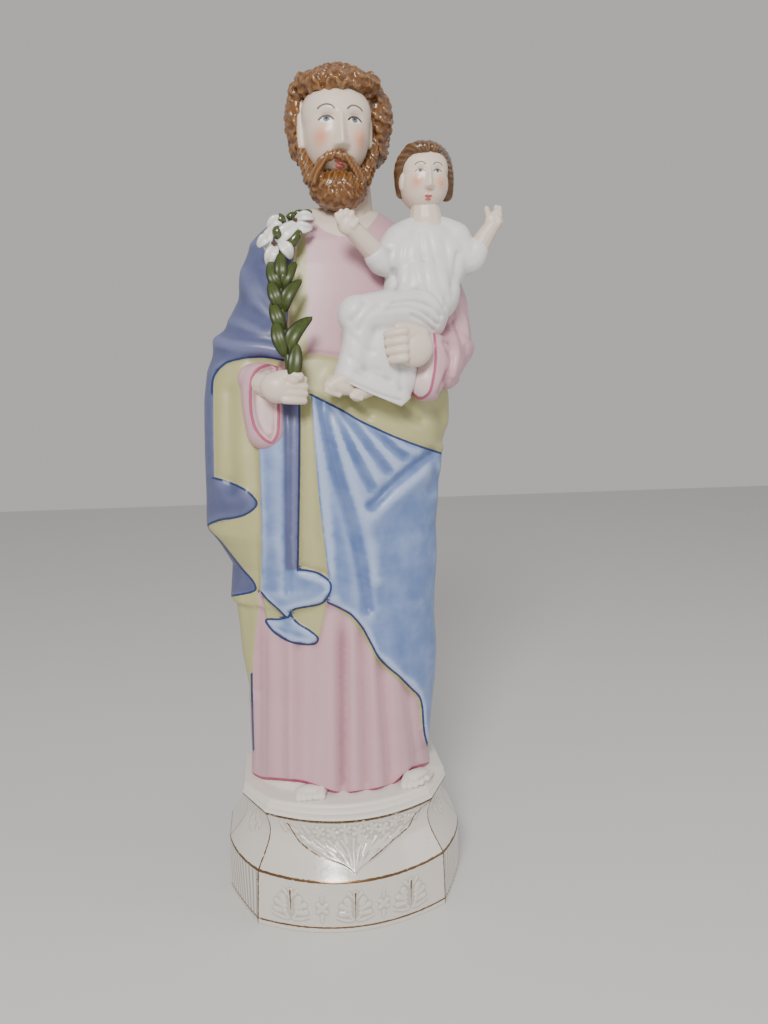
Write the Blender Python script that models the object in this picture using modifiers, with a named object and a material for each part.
"""Porcelain statue of Saint Joseph holding the Child and a lily spray, on a moulded plinth.

Metres, +Z up. The statue faces -Y, and the origin is the centre of the plinth's underside.
The plinth has its own sizes. The figure's forms are shares of FIGURE_HEIGHT, laid out on a front
drawing through the figure's axis: u runs to the right, v runs up, y is the depth behind the axis.
"""
import math

import bmesh
import bpy
import numpy as np
from mathutils import Euler, Matrix, Vector

# Driving sizes
PLINTH_HEIGHT = 0.0527
BAND_HEIGHT = 0.0276
BOTTOM_CHORD, BOTTOM_FRONT, BOTTOM_SIDE, BOTTOM_CORNER = 0.0456, 0.0435, 0.0594, 0.0138
EDGE_CHORD, EDGE_FRONT, EDGE_SIDE, EDGE_CORNER = 0.0444, 0.0444, 0.0592, 0.0121
TOP_CHORD, TOP_FRONT, TOP_SIDE, TOP_CORNER = 0.0404, 0.0382, 0.0517, 0.0169
BOTTOM_BULGE, EDGE_BULGE, TOP_BULGE = 0.0137, 0.0164, 0.0144
BACK_DEPTH = 0.0370
COVE_DEPTH = 0.0052
RELIEF = 0.0009
SEAT_GAP = 0.0003
SLAB_HEIGHT = 0.0048
SLAB_INSET = 0.0004
SLAB_CHORD, SLAB_FRONT, SLAB_SIDE, SLAB_CORNER, SLAB_BULGE = 0.0379, 0.0343, 0.0505, 0.0169, 0.0110
FIGURE_HEIGHT = 0.3470

# The front drawing: its height in shares, the level of the slab's underside, and its viewpoint
DRAWN_HEIGHT = 347.0
DRAWN_SEAT = 53.0
VIEW = Vector((-30.0, -388.0, 246.5))
SHARE = FIGURE_HEIGHT / DRAWN_HEIGHT
SEAT = PLINTH_HEIGHT + SEAT_GAP

# Mesh fineness
VOXEL = 0.0017
FIGURE_KEEP = 0.070
PLINTH_ARC_STEPS = 34
PLINTH_BACK_STEPS = 4
BAND_STEPS, COVE_STEPS = 9, 11

# Body sections: v, left edge, right edge, front, back
SECTIONS = (
    (55, -47.6, 46.6, -36.5, 27), (68, -46.8, 43.6, -35.5, 27), (84, -47.0, 44.8, -34.5, 27),
    (105, -46.2, 47.2, -34, 28), (122, -48.6, 48.4, -34, 29), (139, -49.6, 47.2, -34, 30),
    (149, -50.6, 47.6, -34, 30), (150.5, -53.6, 47.6, -34, 30), (168, -52.0, 49.0, -34.5, 30),
    (178, -57.6, 48.8, -35, 30), (184.5, -63.4, 48.6, -35, 31), (205, -62.4, 50.6, -36, 31),
    (222, -62.2, 52.0, -36, 31), (234, -61.9, 55.0, -35, 31), (247, -61.4, 55.0, -33, 31),
    (260, -59.4, 53.0, -31, 30), (266, -56.6, 53.0, -30, 29), (275, -54.0, 53.0, -29, 29),
    (281, -48.6, 52.0, -28.5, 28), (293, -44.0, 51.0, -27.5, 27), (306, -41.4, 48.5, -26, 25),
    (318, -37.4, 43.0, -23, 22), (325, -30.0, 36.5, -20, 18), (330, -23.5, 30.0, -16, 15),
    (334, -15.5, 24.0, -13, 12),
)
ROUNDNESS = 2.25

# Profile of the ground slab: share of its height, share of the way in to its crown
SLAB_STEPS = ((0.0, 0.0), (0.22, 0.06), (0.3, 0.34), (0.5, 0.46), (0.68, 0.78), (0.88, 0.86), (1.0, 1.0))

# Lily leaves as limb stations, and petals: u, v, depth, lean
LILY_LEAVES = (
    ((-20.4, 257, -49, 2.2), (-17.8, 264, -50, 2.6), (-16.9, 272, -47, 1.4)),
    ((-21.4, 272, -45, 2.0), (-17.4, 279.5, -46, 2.8), (-9.6, 285.8, -42, 1.4)),
    ((-22.6, 291, -38, 1.8), (-20.0, 297.4, -40, 2.4), (-14.2, 303, -36, 1.3)),
    ((-23.4, 301, -34, 1.8), (-20.6, 306.4, -35, 2.2), (-16.8, 310.4, -32, 1.3)),
    ((-22.6, 270, -45, 2.0), (-26.0, 277.2, -46, 2.4), (-26.6, 283, -42, 1.3)),
    ((-23.2, 281.5, -41, 2.0), (-26.4, 287.1, -42, 2.4), (-27.9, 292, -38, 1.3)),
    ((-23.6, 291.5, -38, 2.0), (-27.0, 297.1, -39, 2.4), (-28.6, 302, -35, 1.3)),
    ((-23.8, 300.6, -34, 1.8), (-27.2, 305.4, -35, 2.2), (-28.4, 310.6, -31, 1.3)),
    ((-23.6, 302, -34, 1.8), (-23.5, 308.5, -34, 2.2), (-23.2, 315, -31, 1.3)),
)
LILY_PETALS = (
    (-21, 316.8, -31, -30), (-27.4, 314.6, -31, 25), (-30.8, 320.6, -30, 55), (-28.6, 321.8, -29, 20),
    (-19.8, 325, -30, 50), (-12.6, 328, -28, 85), (-11.4, 331.6, -27, 80), (-24.6, 329, -27, 65),
    (-16.8, 321.6, -30, 38), (-12, 333.4, -24, 80),
)

# Joseph's hair: u, v, depth, and radii across, deep and tall
HAIR_PODS = (
    (5.5, 379.3, 0, 20.8, 20.6, 19.8), (-13.4, 374.5, -4, 5.8, 9.2, 11.8), (-12.6, 364.5, -2, 4.9, 8, 8),
    (23.8, 376, -3, 7.2, 10.2, 12.8), (22.8, 364.5, -1, 6.1, 8, 8.8), (-9, 391, -13.5, 6.4, 6.8, 5.6),
    (-2, 393, -17.5, 7.9, 7.4, 6.2), (6.5, 394.4, -19, 8.4, 7.4, 6.2), (14.5, 393, -17, 7.4, 7.4, 6),
    (20.5, 389, -12, 5.8, 6.8, 6.4), (6, 362, 8, 16, 9, 14),
)

# Cloth borders on the front drawing
MANTLE = ((-12, 248), (29.7, 227), (56, 217), (90, 200), (90, 55), (48, 60), (44, 69), (43, 84),
          (30.7, 102), (20, 113), (12.5, 128), (5.7, 137), (-6.2, 143.4), (-5.5, 160), (-9.5, 206))
WAIST_ROLL = ((-24, 266), (-5.6, 264.7), (23.3, 252.7), (51.5, 243), (90, 243), (90, 208), (56, 217.4),
              (29.7, 227.2), (-12, 248), (-21, 250))
FRONT_FOLD = ((-37.2, 240), (-38.8, 150.4), (-26.5, 137), (-21.8, 141), (-8.3, 143.3), (-4, 149.3),
              (-10.2, 159), (-19.5, 161.3), (-17, 246))
LINING_STRIP = ((-17, 250), (-10.9, 249), (-8.3, 196), (-4.6, 154), (-20, 160))
LEAF_FOLD = ((-37.1, 136), (-24.4, 138.9), (-11.2, 125.2), (-12.2, 122.3), (-22.9, 123), (-33, 130))
LINING_UNDER = ((-38.7, 151), (-3.2, 149), (-8.8, 130), (-20, 128), (-37, 135))
LEFT_PANEL = ((-24, 266), (-40, 266.5), (-56, 258), (-59.3, 209), (-39.3, 195.5), (-64, 185),
              (-41.5, 152), (-38, 150), (-37, 240))
LEFT_STRIP = ((-54, 150), (-40.5, 152), (-43.7, 120), (-47.4, 91), (-56, 91))
CAPE = ((2, 345), (-11.5, 333), (-16, 321), (-20, 292), (-23.5, 265.5), (-40.3, 266.8), (-51.3, 264.2),
        (-57.5, 257), (-59, 232), (-59.3, 209), (-48, 204.6), (-39.3, 195.5), (-51.3, 188.6),
        (-64, 184.8), (-90, 184), (-90, 345))
LOW_LOBE = ((-66, 180), (-52, 168), (-41.5, 152.8), (-54, 149.3), (-68, 149))
# border, thickness, softness of its edge
LAYERS = (
    (LEFT_STRIP, 1.2, 1.5), (LINING_UNDER, 1.4, 1.5), (LEFT_PANEL, 1.6, 1.8), (MANTLE, 2.6, 2.2),
    (LINING_STRIP, 1.0, 2.0), (LOW_LOBE, 1.4, 1.5), (LEAF_FOLD, 2.6, 1.5), (FRONT_FOLD, 4.2, 3.2),
    (CAPE, 2.6, 2.4), (WAIST_ROLL, 3.6, 6.0),
)
# Fold lines: route, height, half width
FOLDS = (
    (((-7.6, 247), (-3, 238), (2, 222), (7, 195), (12, 166), (16, 132)), -3.2, 3.4),
    (((2, 236), (9.7, 214), (20.7, 182)), -2.4, 2.6),
    (((5.6, 237), (14.5, 222), (23.4, 203)), -2.4, 2.6),
    (((44, 217), (33, 207.4), (18, 192.7)), -2.2, 2.2),
    (((9.5, 236), (19, 226), (38, 216)), -1.8, 2.2),
    (((-8, 237), (-4, 212), (0, 184), (3.5, 148)), 2.4, 3.6),
    (((-2, 236), (4.4, 211), (10.4, 185), (14, 165)), 2.2, 3.2),
    (((15.4, 231.7), (25.3, 222.5), (42, 220.5)), 1.8, 2.8),
    (((-50, 247), (-50.5, 227), (-50.9, 208)), -1.6, 3.4),
    (((-43, 246), (-43.5, 222), (-42.7, 205)), 1.6, 2.6),
    (((-54.6, 273.6), (-41.9, 272.1), (-25.3, 269.2)), 2.0, 3.0),
    (((-40.3, 311), (-33.2, 289), (-24.7, 272.5)), 1.6, 3.2),
    (((-41.9, 293.6), (-36.7, 282), (-27.6, 274.5)), -1.4, 2.4),
    (((5.7, 246.6), (11.1, 241.6), (16, 235.6)), -1.2, 2.0),
)
SKIRT_FOOT, SKIRT_TOP, SKIRT_FADE = 57.0, 132.0, 16.0
# Skirt valleys: u at the hem, u at the top, depth, half width
SKIRT_VALLEYS = ((-43.6, -39.8, 1.8, 2.2), (-31.4, -29.1, 2.2, 2.4), (-23.3, -21.4, 1.6, 2.2),
                 (-15.0, -9.0, 1.2, 2.2), (-0.2, 1.7, 3.6, 3.0), (12.1, 11.6, 2.2, 2.6),
                 (25.6, 20.0, 2.4, 2.6), (37.0, 33.0, 1.8, 2.4))
BACK_FOLDS, BACK_FOLD_HEIGHT = 7, 1.3


def spot(u, v, y):
    """Place of what the front drawing shows at (u, v), when it lies at depth y."""
    reach = (y - VIEW.y) / -VIEW.y
    x = VIEW.x + (u - VIEW.x) * reach
    z = VIEW.z + (v - VIEW.z) * reach
    return Vector((x * SHARE, y * SHARE, SEAT + (z - DRAWN_SEAT) * SHARE))


def seen(x, y, z):
    """Where the front drawing shows the points (x, y, z), all in shares."""
    reach = -VIEW.y / (y - VIEW.y)
    return VIEW.x + (x - VIEW.x) * reach, VIEW.z + (z - VIEW.z) * reach


def line_distance(u, v, route):
    """Distance from each (u, v) to a route of straight runs."""
    nearest = np.full(u.shape, 1e9)
    for (u0, v0), (u1, v1) in zip(route[:-1], route[1:]):
        run_u, run_v = u1 - u0, v1 - v0
        along = ((u - u0) * run_u + (v - v0) * run_v) / (run_u ** 2 + run_v ** 2)
        along = np.clip(along, 0.0, 1.0)
        nearest = np.minimum(nearest, np.hypot(u - u0 - along * run_u, v - v0 - along * run_v))
    return nearest


def inside_distance(u, v, border):
    """Signed distance to a closed border, positive inside."""
    closed = tuple(border) + (border[0],)
    inside = np.zeros(u.shape, bool)
    for (u0, v0), (u1, v1) in zip(closed[:-1], closed[1:]):
        crosses = (v0 > v) != (v1 > v)
        rise = v1 - v0 if v1 != v0 else 1e-9
        inside ^= crosses & (u < u0 + (u1 - u0) * (v - v0) / rise)
    return np.where(inside, 1.0, -1.0) * line_distance(u, v, closed)


def step(value, low, high):
    """Smooth rise from 0 to 1 between low and high."""
    share = np.clip((value - low) / (high - low), 0.0, 1.0)
    return share * share * (3.0 - 2.0 * share)


def front_relief(u, v):
    """Height of the cloth layers and folds over the plain body, in shares."""
    height = np.zeros(u.shape)
    skirt = step(v, SKIRT_TOP + SKIRT_FADE, SKIRT_TOP - SKIRT_FADE)
    rise = (v - SKIRT_FOOT) / (SKIRT_TOP - SKIRT_FOOT)
    for foot_u, top_u, depth, half in SKIRT_VALLEYS:
        middle = foot_u + (top_u - foot_u) * rise
        height -= skirt * depth * np.exp(-((u - middle) / half) ** 2)
    for border, thickness, softness in LAYERS:
        cover = step(inside_distance(u, v, border), -softness / 2, softness / 2)
        height = height * (1.0 - 0.75 * cover) + thickness * cover
    for route, amount, half in FOLDS:
        height += amount * np.exp(-(line_distance(u, v, route) / half) ** 2)
    return height


def body_points(turn, height):
    """Body surface in shares: turn is the angle about the axis, height is v."""
    table = np.array(SECTIONS, float)
    left, right, front, back = (np.interp(height, table[:, 0], table[:, k]) for k in (1, 2, 3, 4))
    middle = (left + right) / 2
    half = (right - left) / 2
    across = np.sign(np.cos(turn)) * np.abs(np.cos(turn)) ** (2 / ROUNDNESS)
    deep = np.sign(np.sin(turn)) * np.abs(np.sin(turn)) ** (2 / ROUNDNESS)
    depth = np.where(deep < 0, -front, back)
    x, y = middle + half * across, depth * deep
    u, v = seen(x, y, height)
    ahead = step(-np.sin(turn), -0.02, 0.42)
    behind = BACK_FOLD_HEIGHT * np.sin(BACK_FOLDS * turn + height / 30) * step(330 - height, 0, 60)
    lift = front_relief(u, v) * ahead + behind * step(np.sin(turn), 0.1, 0.6)
    lift = lift * np.clip((336 - height) / 12, 0, 1)
    slope_x, slope_y = np.cos(turn) / np.maximum(half, 1), np.sin(turn) / np.maximum(depth, 1)
    length = np.hypot(slope_x, slope_y)
    return x + lift * slope_x / length, y + lift * slope_y / length


def sphere_object(name, around, rings):
    """A UV sphere, whose rings the callers move into lofted skins."""
    mesh = bpy.data.meshes.new(name)
    ball = bmesh.new()
    bmesh.ops.create_uvsphere(ball, u_segments=around, v_segments=rings, radius=1.0)
    ball.to_mesh(mesh)
    ball.free()
    result = bpy.data.objects.new(name, mesh)
    bpy.context.scene.collection.objects.link(result)
    return result


def ring_and_turn(piece, around, rings):
    """Ring number from the bottom and step around the axis of every vertex of a UV sphere."""
    spots = np.array([vertex.co for vertex in piece.data.vertices])
    ring = np.rint((np.arcsin(np.clip(spots[:, 2], -1, 1)) / math.pi + 0.5) * rings)
    turn = np.rint(np.arctan2(spots[:, 1], spots[:, 0]) / (2 * math.pi) * around) % around
    return ring.astype(int), turn.astype(int)


def set_points(piece, points):
    """Move the vertices of a piece to new places."""
    piece.data.vertices.foreach_set("co", np.asarray(points, float).ravel())
    piece.data.update()


def pod(middle, radii, tilt=(0, 0, 0), around=20, rings=12):
    """A rounded form: a sphere with radii in shares, tilted in degrees, at a world place."""
    form = sphere_object("form", around, rings)
    turned = Euler([math.radians(angle) for angle in tilt]).to_matrix().to_4x4()
    sized = Matrix.Diagonal((radii[0] * SHARE, radii[1] * SHARE, radii[2] * SHARE, 1.0))
    form.data.transform(Matrix.Translation(middle) @ turned @ sized)
    return form


def limb(stations, fine=3):
    """A rounded tube through stations (u, v, y, radius), as a curve turned into a mesh."""
    curve = bpy.data.curves.new("limb", "CURVE")
    curve.dimensions = "3D"
    curve.bevel_depth = SHARE
    curve.bevel_resolution = fine
    curve.use_fill_caps = True
    curve.resolution_u = 4
    line = curve.splines.new("NURBS")
    line.points.add(len(stations) - 1)
    for point, (u, v, y, radius) in zip(line.points, stations):
        point.co = (*spot(u, v, y), 1.0)
        point.radius = radius
    line.order_u = min(4, len(stations))
    line.use_endpoint_u = True
    holder = bpy.data.objects.new("limb", curve)
    bpy.context.scene.collection.objects.link(holder)
    mesh = bpy.data.meshes.new_from_object(holder.evaluated_get(bpy.context.evaluated_depsgraph_get()))
    bpy.data.objects.remove(holder)
    result = bpy.data.objects.new("form", mesh)
    bpy.context.scene.collection.objects.link(result)
    return result


def rounded_limb(stations):
    """A limb with a ball at each end, so that its ends are round."""
    ends = [pod(spot(u, v, y), (radius, radius, radius), around=12, rings=8)
            for u, v, y, radius in (stations[0], stations[-1])]
    return [limb(stations)] + ends


def robed_body():
    """The robe and cape from the hem to the neck, as one lofted skin with its cloth layers."""
    around, rings = 220, 170
    skin = sphere_object("form", around, rings)
    ring, turn = ring_and_turn(skin, around, rings)
    low, high = SECTIONS[0][0], SECTIONS[-1][0]
    height = low + (high - low) * np.clip((ring - 1) / (rings - 2), 0, 1)
    x, y = body_points(turn * 2 * math.pi / around, height)
    pole = (ring == 0) | (ring == rings)
    x, y = np.where(pole, 0.0, x), np.where(pole, 0.0, y)
    z = SEAT + (height - DRAWN_SEAT) * SHARE
    set_points(skin, np.stack([x * SHARE, y * SHARE, z], 1))
    return [skin]


def curls(middle, radii, count, size, keep):
    """Locks of hair: small balls spread evenly over an ellipsoid where keep(direction) holds."""
    forms = []
    for number in range(count):
        rise = 1.0 - 2.0 * (number + 0.5) / count
        angle = number * math.pi * (3.0 - math.sqrt(5.0))
        flat = math.sqrt(1.0 - rise * rise)
        way = Vector((flat * math.cos(angle), flat * math.sin(angle), rise))
        if keep(way):
            place = middle + Vector(radii) * way * SHARE
            forms.append(pod(place, (size, size, size * 0.8), around=10, rings=6))
    return forms


def joseph_head():
    """Neck, face, beard with its moustache, and curled hair that bulges over both ears."""
    chin = spot(4.8, 344.6, -17)
    skull = spot(5.5, 379.3, 0)
    forms = [limb(((8.5, 322, -4, 14), (8.5, 335, -4, 12.6), (7.5, 352, -5, 12.2)))]
    forms.append(pod(spot(4.3, 372, -13), (14.9, 17.5, 22)))
    forms += nose(spot(4.0, 367.5, -30.5), 2.0, 6.4)
    for u, v, y, wide, deep, tall in HAIR_PODS:
        forms.append(pod(spot(u, v, y), (wide, deep, tall)))
    forms += curls(skull, (20.4, 20.2, 19.0), 110, 2.6, lambda way: way.z > -0.5 and (
        way.y > -0.3 or way.z > 0.8))
    forms.append(pod(chin, (13.1, 12.3, 9.2)))
    forms += curls(chin, (12.4, 11.6, 8.6), 60, 2.2, lambda way: way.y < 0.3 and way.z < 0.6)
    forms += rounded_limb(((-12.6, 367, -10, 2.3), (-11.4, 358.5, -12, 2.8), (-7.2, 349.6, -16, 4.4)))
    forms += rounded_limb(((22.0, 367, -8, 2.6), (21.4, 358.5, -11, 3.2), (16.4, 349.6, -15, 4.6)))
    forms += rounded_limb(((-5.4, 350, -24, 2.3), (-1.4, 358.4, -29.8, 1.6), (4.4, 362, -32, 1.5),
                           (10.0, 358.4, -29.8, 1.6), (14.6, 350, -24, 2.3)))
    return forms


def nose(place, half, length):
    """A nose: a slim form that leans forward at its foot."""
    return [pod(place, (half, 2.4, length), (-10, 0, 0), around=12, rings=8)]


def right_arm():
    """The sleeve on the viewer's left, the forearm and the fist round the lily stalk."""
    forms = rounded_limb(((-34.0, 254, -36, 9.5), (-34.5, 244, -36, 10.5), (-33, 232, -36, 9.5)))
    forms += rounded_limb(((-40, 254.5, -38, 6.6), (-31, 252.5, -44, 6.0)))
    forms.append(pod(spot(-23, 251.5, -46), (10.0, 6.4, 7.4), (0, 6, 0)))
    for finger in range(4):
        drop = 3.9 * finger
        forms += rounded_limb(((-20, 257.2 - drop, -51, 2.0), (-13.5, 256.2 - drop, -50, 2.1)))
    return forms


def left_arm():
    """The sleeve on the viewer's right and the hand that steadies the Child."""
    forms = rounded_limb(((45, 308, -2, 14), (55.5, 290, -4, 15), (56.5, 270, -12, 14)))
    forms += rounded_limb(((56, 268, -16, 14), (53, 262, -32, 12.5)))
    forms += rounded_limb(((50.5, 268, -38, 8.2), (48.5, 254, -38, 8.4)))
    forms.append(pod(spot(40.4, 270.8, -51.5), (8.2, 5.6, 8.8)))
    forms.append(pod(spot(44.0, 270.5, -49.5), (4.8, 5.4, 7.6)))
    for finger in range(4):
        drop = 4.2 * finger
        forms += rounded_limb(((36, 278.6 - drop, -55, 2.2), (27.2 + finger, 277.2 - drop, -53, 2.0)))
    forms += rounded_limb(((45, 277.4, -52, 2.9), (39, 281.4, -53.4, 2.4), (32.6, 280.8, -53.6, 1.9)))
    return forms


def child():
    """The Child: head, tunic with short sleeves, spread arms, bent legs and bare feet."""
    forms = [limb(((47.2, 326, -25, 7.6), (46.7, 341, -26, 6.8)))]
    forms.append(pod(spot(45.9, 350.6, -25), (11.4, 12.8, 13.7)))
    forms.append(pod(spot(46.4, 354, -20.5), (13.0, 13.4, 12.8)))
    forms += rounded_limb(((45.8, 364.4, -33.4, 2.5), (35.6, 359, -28.4, 3.2), (35.4, 344.5, -22, 2.6)))
    forms += rounded_limb(((46.8, 364.4, -33.4, 2.5), (57, 358.8, -27.4, 3.3), (57, 344, -21, 2.8)))
    forms += nose(spot(45.6, 349, -38), 1.2, 3.2)
    forms.append(pod(spot(46.5, 313, -25), (16.8, 13.0, 18.8)))
    forms.append(pod(spot(44.8, 298, -28), (17.8, 14.0, 17.0)))
    forms.append(pod(spot(34.5, 320.5, -26), (8.3, 8.5, 8.4)))
    forms.append(pod(spot(60.8, 322, -25), (8.3, 8.5, 8.4)))
    forms.append(pod(spot(47.4, 322, -25), (14.0, 9.8, 10.2)))
    forms += rounded_limb(((33, 319, -27, 8), (28.4, 311.5, -31, 7.8), (25.4, 310.4, -33, 7),
                           (22.6, 314.2, -35, 5.5)))
    forms += rounded_limb(((61, 320, -25, 8), (66, 311.8, -26, 8.4), (69.4, 311.4, -26, 7.6),
                           (72.2, 317.4, -27, 5.7)))
    forms += rounded_limb(((24.4, 313, -34, 4.8), (15.6, 322.4, -39, 4.4), (11.4, 326.8, -41, 4.0)))
    forms.append(pod(spot(8.9, 330.4, -42.8), (5.0, 3.2, 5.6), (0, -28, 0)))
    forms += rounded_limb(((71.4, 314.6, -26.6, 5), (77.2, 325.2, -28.2, 4), (80.4, 329.4, -29, 3.5)))
    forms.append(pod(spot(82.3, 331.6, -29.2), (4.2, 3.0, 3.8), (0, 25, 0)))
    for base_u, base_v, tip_u, tip_v in ((80, 332.4, 78.9, 337), (84.6, 333.6, 85.6, 336.6)):
        forms += rounded_limb(((base_u, base_v, -29.2, 1.5), (tip_u, tip_v, -29.6, 1.2)))
    forms += rounded_limb(((44, 288, -32, 13.5), (30, 287, -40, 11), (20, 286.4, -44, 9.2),
                           (12, 285.8, -46, 8.6)))
    forms += rounded_limb(((13, 282, -46, 7), (12.4, 274, -45, 6.6), (10.2, 266, -45, 6.4),
                           (7.4, 262, -46, 6.2)))
    forms.append(pod(spot(23, 268, -42), (15.5, 9.6, 17.5), (0, 14, 0)))
    forms.append(pod(spot(30, 258, -41.5), (11.0, 8.0, 13.5), (0, 8, 0)))
    forms += rounded_limb(((12, 262, -45, 6.6), (20, 258, -44, 7.4), (27, 253, -43, 7.4),
                           (33, 250, -41, 6.6)))
    forms += rounded_limb(((11, 256, -45.5, 4.6), (4.6, 253.6, -46.6, 3.8), (-0.8, 251.6, -47.6, 3.4)))
    forms += rounded_limb(((20, 252, -44.5, 3.8), (12.6, 248.4, -47.2, 3.0)))
    return forms


def lily():
    """The lily spray: a stalk with alternating leaves and open flowers over the shoulder."""
    forms = [limb(((-20.4, 250, -48, 2.4), (-20.9, 257.7, -48, 2.4), (-21.8, 272, -45, 2.2),
                   (-23.7, 293.6, -37, 2.0), (-23.8, 312, -31, 1.8), (-23.6, 321, -29, 1.6)))]
    for route in LILY_LEAVES:
        forms += rounded_limb(route)
    for u, v, y, tilt in LILY_PETALS:
        forms.append(pod(spot(u, v, y), (2.4, 1.8, 4.6), (0, tilt, 0), around=12, rings=8))
    return forms


def feet():
    """The toes of two bare feet that show under the hem."""
    forms = []
    for toe in range(5):
        u = -26.0 + 3.1 * toe
        forms += rounded_limb(((u, 47, -31, 3.0), (u, 41.6, -37.4, 2.2)))
        u = 32.6 + 3.2 * toe
        v = 42.0 + 0.9 * abs(toe - 1.5)
        forms += rounded_limb(((u + 2.4, 50, -26, 3.2), (u, v, -34.2, 2.2)))
    return forms


def eight_sided(chord, front, side, corner, bulge, grow=0.0):
    """Plan of the base: a bowed front, chamfered corners, straight sides and a plain back."""
    chord, front, side = chord + grow, front + grow, side + grow
    plan = []
    for number in range(PLINTH_ARC_STEPS + 1):
        share = -1.0 + 2.0 * number / PLINTH_ARC_STEPS
        plan.append((chord * share, -front - bulge * (1.0 - share * share)))
    plan += [(side, -corner), (side, corner)]
    for number in range(PLINTH_BACK_STEPS + 1):
        share = 1.0 - 2.0 * number / PLINTH_BACK_STEPS
        plan.append((chord * share, BACK_DEPTH + grow))
    plan += [(-side, corner), (-side, -corner)]
    return np.array(plan)


def base_loft(name, levels):
    """A closed loft through plans at given heights: a sphere whose rings become the plans."""
    around, rings = len(levels[0][1]), len(levels) + 1
    form = sphere_object(name, around, rings)
    ring, turn = ring_and_turn(form, around, rings)
    points = []
    for number, place in zip(ring, turn):
        height, plan = levels[min(max(number - 1, 0), len(levels) - 1)]
        flat = (0.0, 0.0) if number in (0, rings) else plan[place]
        points.append((flat[0], flat[1], height))
    set_points(form, points)
    return form


def cove_relief(across, rise):
    """Raised flower spray that fans up the middle of the cove: across and rise run 0 to 1."""
    fan = 0.0
    for blade in range(7):
        lean = (blade - 3) * 0.17
        middle = 0.5 + lean * rise
        reach = step(rise, 0.08, 0.2) * step(0.95 - rise, 0, 0.2)
        fan = max(fan, reach * math.exp(-((across - middle) / 0.022) ** 2))
    for bud in range(7):
        middle = 0.5 + (bud - 3) * 0.105
        fan = max(fan, math.exp(-((across - middle) / 0.035) ** 2 - ((rise - 0.76) / 0.13) ** 2))
    return RELIEF * float(fan)


def band_relief(across, rise):
    """Three raised palmettes on the lower band."""
    lift = 0.0
    for palmette in range(3):
        middle = 0.5 + (palmette - 1) * 0.31
        for leaf in range(5):
            lean = math.radians(-60 + 30 * leaf)
            u = (across - middle) * 3.0 - 0.20 * math.sin(lean)
            v = (rise - 0.32) - 0.28 * math.cos(lean)
            lift = max(lift, math.exp(-(u / 0.07) ** 2 - (v / 0.12) ** 2))
    return RELIEF * float(lift)


def make_plinth():
    """The moulded plinth: upright ribbed band, concave cove and a flat top."""
    bottom = eight_sided(BOTTOM_CHORD, BOTTOM_FRONT, BOTTOM_SIDE, BOTTOM_CORNER, BOTTOM_BULGE)
    edge = eight_sided(EDGE_CHORD, EDGE_FRONT, EDGE_SIDE, EDGE_CORNER, EDGE_BULGE)
    top = eight_sided(TOP_CHORD, TOP_FRONT, TOP_SIDE, TOP_CORNER, TOP_BULGE)
    levels = []
    for number in range(BAND_STEPS + 1):
        rise = number / BAND_STEPS
        plan = bottom + (edge - bottom) * rise
        levels.append((BAND_HEIGHT * rise, raised(plan, rise, band_relief)))
    for number in range(1, COVE_STEPS + 1):
        rise = number / COVE_STEPS
        plan = edge + (top - edge) * rise
        hollow = COVE_DEPTH * math.sin(math.pi * rise)
        plan = plan * (1.0 - hollow / np.hypot(plan[:, 0], plan[:, 1]))[:, None]
        height = BAND_HEIGHT + (PLINTH_HEIGHT - BAND_HEIGHT) * rise
        levels.append((height, raised(plan, rise, cove_relief)))
    return base_loft("plinth", levels)


def raised(plan, rise, relief):
    """A plan with the relief of its front face added."""
    plan = plan.copy()
    if 0.0 < rise < 1.0:
        for number in range(PLINTH_ARC_STEPS + 1):
            plan[number, 1] -= relief(number / PLINTH_ARC_STEPS, rise)
    return plan


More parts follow.
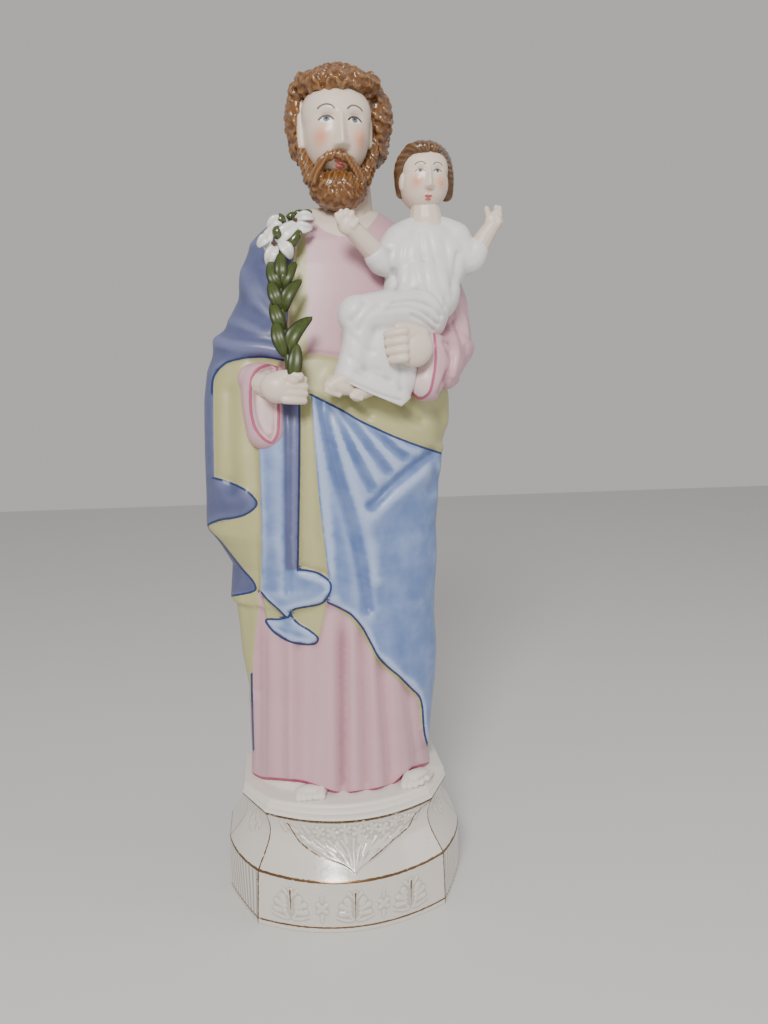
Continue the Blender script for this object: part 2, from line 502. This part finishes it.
def make_slab():
    """The ground slab under the feet, stepped in from the plinth's top edge."""
    low = eight_sided(TOP_CHORD, TOP_FRONT, TOP_SIDE, TOP_CORNER, TOP_BULGE, -SLAB_INSET)
    high = eight_sided(SLAB_CHORD, SLAB_FRONT, SLAB_SIDE, SLAB_CORNER, SLAB_BULGE)
    levels = []
    for rise, share in SLAB_STEPS:
        levels.append((SEAT + SLAB_HEIGHT * rise, low + (high - low) * share))
    return base_loft("ground slab", levels)


def material(name, colour, roughness):
    """A plain finish for a part."""
    finish = bpy.data.materials.new(name)
    finish.use_nodes = True
    surface = finish.node_tree.nodes["Principled BSDF"]
    surface.inputs["Base Color"].default_value = (*colour, 1.0)
    surface.inputs["Roughness"].default_value = roughness
    surface.inputs["Metallic"].default_value = 0.0
    finish.diffuse_color = (*colour, 1.0)
    return finish


def join_forms(name, forms):
    """One mesh object from many overlapping forms."""
    bpy.ops.object.select_all(action="DESELECT")
    for form in forms:
        form.select_set(True)
    bpy.context.view_layer.objects.active = forms[0]
    bpy.ops.object.join()
    forms[0].name = name
    return forms[0]


def make_figure():
    """Joseph, the Child, the lily and the slab, fused into one casting."""
    forms = robed_body() + joseph_head() + right_arm() + left_arm() + child() + lily() + feet()
    casting = join_forms("figure forms", forms)
    blend = casting.modifiers.new("Blend", "REMESH")
    blend.mode = "VOXEL"
    blend.voxel_size = VOXEL
    ease = casting.modifiers.new("Ease", "DECIMATE")
    ease.ratio = FIGURE_KEEP
    slab = make_slab()
    slab.name = "joseph_and_child"
    union = slab.modifiers.new("Casting", "BOOLEAN")
    union.operation = "UNION"
    union.solver = "EXACT"
    union.object = casting
    return slab, casting


def file_under(piece, collection):
    """Move a piece into one collection."""
    for holder in list(piece.users_collection):
        holder.objects.unlink(piece)
    collection.objects.link(piece)


def main():
    for item in list(bpy.data.objects):
        bpy.data.objects.remove(item)
    parts = bpy.data.collections.new("Saint Joseph statue")
    cutters = bpy.data.collections.new("Cutters")
    bpy.context.scene.collection.children.link(parts)
    bpy.context.scene.collection.children.link(cutters)
    plinth = make_plinth()
    plinth.data.materials.append(material("Glazed porcelain", (0.82, 0.80, 0.76), 0.12))
    figure, casting = make_figure()
    figure.data.materials.append(material("Painted bisque", (0.62, 0.60, 0.68), 0.45))
    file_under(plinth, parts)
    file_under(figure, parts)
    file_under(casting, cutters)
    casting.hide_render = True
    casting.display_type = "WIRE"


main()
